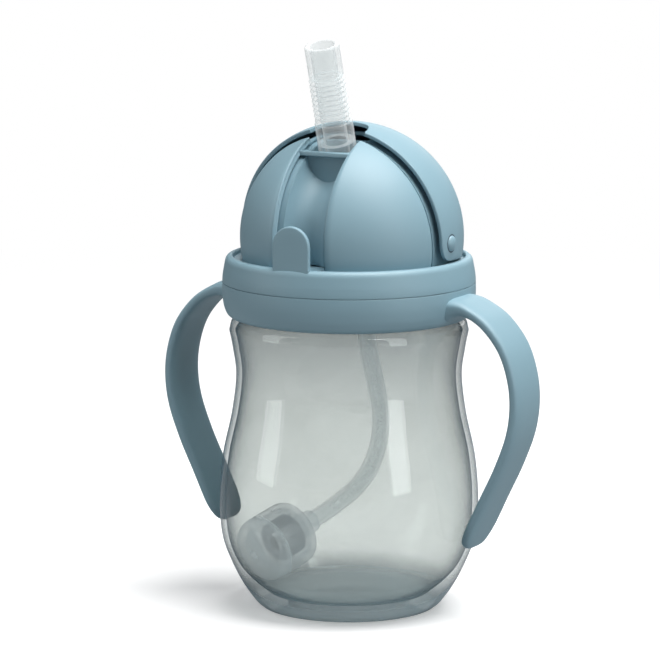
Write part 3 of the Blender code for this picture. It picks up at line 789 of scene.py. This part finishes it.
def cradle_top():
    """The crossbar and the well behind it, as loops round the spout.

    A loop is a rounded box in front of the spout and a circle behind it.  Loops climb from the
    well's floor to the top, spread out to the ledges, and run down the bar's front, which is
    hollowed under the bar.
    """
    turn = np.linspace(0, 2 * np.pi, 180, endpoint=False)
    s, c = np.sin(turn), -np.cos(turn)

    def loop(front, rear, half, power, centre):
        """Distances front, rear and half reached along -y, +y and x by a superellipse."""
        reach = np.where(-c > 0, front, rear)
        rho = (np.abs(s / half) ** power + np.abs(c / reach) ** power) ** (-1 / power)
        return np.stack([rho * s, -centre + rho * c], axis=1)

    def height(y):
        f = -y
        ledge = np.sqrt(np.clip(LEDGE_R ** 2 - f ** 2, 1, None))
        return PIVOT_Z + np.where((f > 9.5) & (f < 15.6), np.maximum(BAR_UP, ledge), ledge)

    rows = []

    def add(flat, z):
        rows.append(np.column_stack([flat, np.broadcast_to(z, len(flat))]))

    floor = loop(7.6, 7.0, 7.0, 2.2, 3.9)
    mouth = loop(6.3, 7.2, 6.7, 5.0, 6.8)
    add(loop(0.02, 0.02, 0.02, 2.0, 3.9), 128.4)
    add(loop(6.6, 6.4, 6.4, 2.2, 3.9), 128.4)
    for k in np.linspace(0, 1, 10):
        flat = floor + (mouth - floor) * k
        add(flat, 128.9 + (height(mouth[:, 1]) - 0.5 - 128.9) * k)
    for k in np.linspace(0, 1, 5)[1:]:
        spread = 0.35 * (1 - math.cos(k * math.pi / 2))
        flat = mouth + spread * np.stack([s, c], axis=1)
        add(flat, height(mouth[:, 1]) - 0.5 + 0.5 * math.sin(k * math.pi / 2))
    out = loop(15.25 - 6.8, 14.0, 11.5, 14.0, 6.8)
    lip = rows[-1][:, :2]
    for k in np.linspace(0, 1, 12)[1:]:
        flat = lip + (out - lip) * k
        add(flat, height(flat[:, 1]))
    edge = loop(BAR_FRONT - 6.8, 14.3, 11.8, 14.0, 6.8)
    level = height(out[:, 1])
    add((out + edge) / 2, level - 0.07)
    add(edge, level - 0.3)
    add(edge, level - 1.15)
    inset = loop(BAR_FRONT - 6.8 - 0.3, 14.0, 11.6, 14.0, 6.8)
    add(inset, level - 1.4)
    recess = loop(BAR_FRONT - 6.8 - 1.9, 14.0, 11.6, 14.0, 6.8)
    add(recess, level - 1.6)
    add(recess, level - 12.0)
    add(loop(0.03, 0.03, 0.03, 2.0, 6.8), 126.2)
    place(solid("cradle_crossbar", np.array(rows), round_columns=True), LID, blue, "blue_plastic")


def lid_ceiling():
    """The lid's flat inner ceiling, which the conduit passes through."""
    profile = softened([(0, 105.9, 0), (27.3, 105.9, 0.2), (27.3, 104.7, 0.3), (26.2, 104.7, 0.3),
                        (24.8, 103.9, 0.5), (24.2, 104.7, 0.5), (0, 104.7, 0)])
    place(turned("lid_ceiling", profile), LID, blue, "blue_plastic")


def cradle_conduit():
    """The pipe under the cradle that holds the spout's lower length, turned about its line."""
    profile = softened([(5.9, -12.3, 0.2), (7.6, -12.3, 0.3), (7.6, -45.7, 0.4), (5.9, -45.7, 0.3)],
                       closed=True)
    pipe = turned("cradle_conduit", profile, closed=True, steps=SMALL_ROUND, foot=SPOUT_FOOT,
                  axis=SPOUT_LINE)
    place(pipe, LID, blue, "blue_plastic")


cradle_trough()
cradle_top()
lid_ceiling()
cradle_conduit()


# ------------------------------------------------------------------ spout

STEM_R, STEM_LOW_R, BORE_R, STEM_TOP, STEM_END, WELL_FLOOR = 5.65, 5.3, 3.6, 8.2, -48.0, -11.7
STEM_SPLIT = 1.7
RIBS, RIB_PITCH, RIB_R, RIB_ROOT_R = 9, 1.55, 5.4, 4.85
TIP_FROM, TIP_TO, TIP_R, TIP_BORE_R = 22.15, 32.3, 5.15, 3.7


def on_spout(name, profile, closed=True):
    return turned(name, profile, closed=closed, steps=96, foot=SPOUT_FOOT, axis=SPOUT_LINE)


def spout_parts():
    """Stem, ribbed bellows and mouthpiece, turned about the spout's leaning line.

    The bellows' outside is root + height * (0.5 - 0.5 cos)^0.7 of the place along it, one wave a
    rib, so the ribs are broad and round and the roots narrow.
    """
    stem = softened([(BORE_R, STEM_SPLIT, 0), (STEM_R, STEM_SPLIT, 0), (STEM_R, WELL_FLOOR, 0.3),
                     (STEM_LOW_R, WELL_FLOOR, 0.1), (STEM_LOW_R, STEM_END + 2, 0.5),
                     (7.4, STEM_END + 2, 0.4), (7.4, STEM_END, 0.4), (BORE_R, STEM_END, 0.2)], closed=True)
    place(on_spout("spout_stem_tube", stem), LID, clear_silicone, "clear_silicone", "spout_stem")

    run = np.linspace(0, 1, RIBS * 16 + 1)
    wave = (0.5 - 0.5 * np.cos(2 * np.pi * RIBS * run)) ** 0.7
    up = STEM_TOP + RIBS * RIB_PITCH * run
    plain = np.linspace(STEM_SPLIT, STEM_TOP - 0.7, 22)
    shoulder = softened([(STEM_R, plain[-1], 0), (STEM_R, STEM_TOP - 0.1, 0.4), (RIB_ROOT_R, STEM_TOP, 0)])
    outer = np.vstack([np.stack([np.full_like(plain, STEM_R), plain], axis=1), shoulder[1:-1],
                       np.stack([RIB_ROOT_R + (RIB_R - RIB_ROOT_R) * wave, up], axis=1)])
    inner = np.vstack([np.stack([np.full_like(plain, BORE_R), plain], axis=1),
                       np.stack([BORE_R + 0.25 * wave, up], axis=1)])[::-1]
    ribs = on_spout("spout_ribs", np.vstack([outer, inner]))
    place(ribs, SPOUT, clear_silicone, "clear_silicone", "spout_bellows")
    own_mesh(ribs)

    side = np.linspace(TIP_FROM + 1.0, TIP_TO - 1.2, 24)
    tip = softened([(RIB_ROOT_R, TIP_FROM, 0), (TIP_R, TIP_FROM + 0.4, 0.3), (TIP_R, side[0], 0)])
    tip = np.vstack([tip, np.stack([np.full_like(side, TIP_R), side], axis=1)[1:],
                     softened([(TIP_R, side[-1], 0), (TIP_R, TIP_TO, 0.7), (TIP_BORE_R, TIP_TO, 0.5),
                               (TIP_BORE_R, side[-1], 0)], bends=9)[1:],
                     np.stack([np.full_like(side, TIP_BORE_R), side[::-1]], axis=1)[1:],
                     [(TIP_BORE_R, TIP_FROM)]])
    bent(on_spout("spout_mouthpiece", tip), "spout_tip")


def bent(piece, node):
    """Gives a length of the spout its silicone finish, bakes its placing into its mesh and hides the node it
    stands for.
    """
    piece.data.materials.append(clear_silicone)
    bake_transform(piece)
    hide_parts(node)


def connector():
    """The stepped fitting that joins the spout's flange to the drop tube."""
    top = STEM_END - 0.3
    profile = softened([(1.6, top + 4.5, 0.2), (3.0, top + 4.5, 0.4), (3.3, top, 0.2), (6.6, top, 0.3),
                        (6.6, top - 1.8, 0.3), (3.3, top - 1.8, 0.2), (3.1, -54.0, 0.3),
                        (1.6, -54.0, 0.2)], closed=True)
    place(on_spout("straw_fitting", profile), LID, blue, "blue_plastic", "straw_connector")


def gasket():
    """The flat sealing ring between the neck's top and the lid's ceiling."""
    profile = softened([(27.3, 102.8, 0.3), (30.9, 102.8, 0.3), (30.8, 104.3, 0.4), (27.3, 104.3, 0.4)],
                       closed=True)
    place(turned("seal_ring", profile, closed=True), SEAL, seal_silicone, "seal_silicone", "lid_gasket")


spout_parts()
connector()
gasket()


# ------------------------------------------------------------------ weighted straw

TUBE_R, TUBE_BORE_R = 2.65, 1.65
TUBE_ROUTE = [(0.0, 8.95, 88.15), (0.1, 12.9, 74.8), (0.5, 16.6, 64.6), (0.8, 19.2, 54.2),
              (0.0, 18.8, 44.9), (-2.2, 15.9, 36.9), (-5.1, 11.3, 31.6), (-7.9, 6.0, 28.2),
              (-10.2, 0.8, 25.8), (-11.2, -1.8, 24.9)]
SLEEVE_LONG, SLEEVE_R = 5.4, 3.6
WEIGHT_R, WEIGHT_LONG, WEIGHT_WALL, WEIGHT_ROUND, WEIGHT_BORE = 10.0, 18.8, 1.5, 5.0, 1.5


def weighted_straw():
    """The hanging tube along its route, then sleeve, two-part float body and steel core."""
    line = even(spline(TUBE_ROUTE, 12), 110)
    along = line[-1] - line[-6]
    along /= np.linalg.norm(along)
    foot = line[-1]

    def part(name, profile, finish, slot_name, node):
        piece = turned(name, profile, closed=True, steps=SMALL_ROUND, foot=foot, axis=along)
        return place(piece, STRAW, finish, slot_name, node)

    gap = 0.3
    sleeve = softened([(WEIGHT_BORE, gap, 0.1), (SLEEVE_R - 0.3, gap, 0.4), (SLEEVE_R, 2.2, 0.5),
                       (SLEEVE_R, SLEEVE_LONG, 0.3), (WEIGHT_BORE, SLEEVE_LONG, 0.1)], closed=True)
    neck = part("weight_sleeve", sleeve, clear_float, "weight_plastic", "weight_neck")

    near = SLEEVE_LONG + gap
    far = near + WEIGHT_LONG
    seam = near + WEIGHT_LONG / 2 + 3.0
    wall, corner = WEIGHT_WALL, WEIGHT_ROUND
    shell = softened([(WEIGHT_BORE, near, 0.1), (WEIGHT_R, near, corner), (WEIGHT_R, seam, 0.2),
                      (WEIGHT_R - wall, seam, 0.2), (WEIGHT_R - wall, near + wall, corner - wall),
                      (WEIGHT_BORE, near + wall, 0.1)], closed=True, bends=12)
    body = part("weight_float", shell, clear_float, "weight_plastic", "weight_shell")
    plug = WEIGHT_R - wall - 0.4
    cap = softened([(WEIGHT_BORE, far, 0.1), (WEIGHT_BORE, far - wall, 0.1), (plug - 1, far - wall, 3.0),
                    (plug - 1, seam - wall, 0.2), (plug, seam - wall, 0.2), (plug, seam + gap, 0.1),
                    (WEIGHT_R, seam + gap, 0.2), (WEIGHT_R, far, corner)], closed=True, bends=12)
    end = part("weight_end", cap, clear_float, "weight_plastic", "weight_cap")
    low, high = near + wall + 1.6, seam - wall - 0.5
    core = softened([(2.0, low, 0.2), (6.2, low, 0.6), (6.2, high, 0.6), (2.0, high, 0.2)], closed=True)
    ball = part("weight_steel", core, steel, "steel", "weight_core")

    tube = swept("drop_straw", line, TUBE_R, TUBE_BORE_R, sides=36)
    place(tube, STRAW, straw_silicone, "clear_silicone", "drop_tube")


weighted_straw()


# ------------------------------------------------------------------ floor, light and camera

def studio():
    """A pale floor, a white surround, and soft boxes above, right, left and behind.

    The floor and the surround look white from the camera and light the cup more faintly, so that
    its undersides keep their shade.
    """
    floor = Finish("pale_floor")
    speck = floor.noise(60, 3.0)
    x, y = floor.axes()[:2]
    away = ((x * x + y * y) ** 0.5).ramp(0.18, 0.75)
    seen = Wire(floor, floor.node("LightPath").outputs["Is Camera Ray"])
    lit = floor.node("BsdfPrincipled", None, {
        "Base Color": floor.mix(speck, (0.30, 0.31, 0.32), (0.32, 0.33, 0.34)), "Roughness": 0.8,
        "Specular IOR Level": 0.1})
    shown = floor.node("BsdfPrincipled", None, {
        "Base Color": floor.mix(speck, (0.86, 0.86, 0.86), (0.88, 0.88, 0.88)), "Roughness": 0.8,
        "Specular IOR Level": 0.1, "Emission Color": (1.0, 1.0, 1.0, 1.0),
        "Emission Strength": 0.25})
    white = floor.node("Emission", None, {"Color": (1.0, 1.0, 1.0, 1.0), "Strength": 1.0})
    sheet = floor.node("MixShader", None, {"Fac": seen, 1: lit.outputs[0], 2: shown.outputs[0]})
    sheet = floor.node("MixShader", None, {"Fac": seen * away, 1: sheet.outputs[0],
                                           2: white.outputs[0]})
    mesh = bpy.data.meshes.new("floor")
    half, depth = 30.0, -0.0004
    mesh.from_pydata([(-half, -half, depth), (half, -half, depth), (half, half, depth),
                      (-half, half, depth)], [], [(0, 1, 2, 3)])
    ground = bpy.data.objects.new("floor", mesh)
    ground.data.materials.append(floor.done(sheet))
    bpy.context.scene.collection.objects.link(ground)

    world = bpy.data.worlds.new("surround")
    world.use_nodes = True
    tree = world.node_tree
    background = tree.nodes["Background"]
    background.inputs["Color"].default_value = (0.90, 0.96, 1.0, 1.0)
    background.inputs["Strength"].default_value = 0.13
    backdrop = tree.nodes.new("ShaderNodeBackground")
    backdrop.inputs["Strength"].default_value = 1.0
    backdrop.inputs["Color"].default_value = (1.0, 1.0, 1.0, 1.0)
    seen = tree.nodes.new("ShaderNodeLightPath")
    both = tree.nodes.new("ShaderNodeMixShader")
    tree.links.new(seen.outputs["Is Camera Ray"], both.inputs["Fac"])
    tree.links.new(background.outputs[0], both.inputs[1])
    tree.links.new(backdrop.outputs[0], both.inputs[2])
    tree.links.new(both.outputs[0], tree.nodes["World Output"].inputs["Surface"])
    bpy.context.scene.world = world

    aim = Vector((0.0, 0.0, 0.09))
    for name, place_at, size, power in (
            ("top_box", (0.26, 0.02, 1.00), (0.75, 0.75), 14.6),
            ("right_box", (1.10, -0.28, 0.60), (0.42, 1.4), 4.8),
            ("left_box", (-0.92, -0.72, 0.60), (0.50, 1.4), 4.2),
            ("back_box", (-0.30, 1.10, 0.55), (0.80, 0.6), 2.2)):
        data = bpy.data.lights.new(name, "AREA")
        data.shape = "RECTANGLE"
        data.size, data.size_y = size
        data.energy = power
        lamp = bpy.data.objects.new(name, data)
        lamp.location = place_at
        lamp.visible_camera = False
        lamp.rotation_euler = (aim - Vector(place_at)).to_track_quat("-Z", "Y").to_euler()
        bpy.context.scene.collection.objects.link(lamp)


def camera():
    """The view: a long lens, from the front and to the right, a little above the lid."""
    azimuth, distance, height, lens = math.radians(28.5), 1.090, 0.268, 201.0
    right = Vector((math.cos(azimuth), math.sin(azimuth), 0))
    aim = Vector((0, 0, 0.0838)) - right * 0.0057
    back = Vector((math.sin(azimuth), -math.cos(azimuth), 0))
    data = bpy.data.cameras.new("camera")
    data.lens, data.sensor_width = lens, 36.0
    data.clip_start, data.clip_end = 0.05, 60.0
    eye = bpy.data.objects.new("camera", data)
    eye.location = Vector((aim.x, aim.y, height)) + back * distance
    eye.rotation_euler = (aim - eye.location).to_track_quat("-Z", "Y").to_euler()
    bpy.context.scene.collection.objects.link(eye)
    bpy.context.scene.camera = eye


studio()
camera()
bpy.context.scene.view_settings.view_transform = "Standard"
bpy.context.scene.cycles.transparent_max_bounces = 32
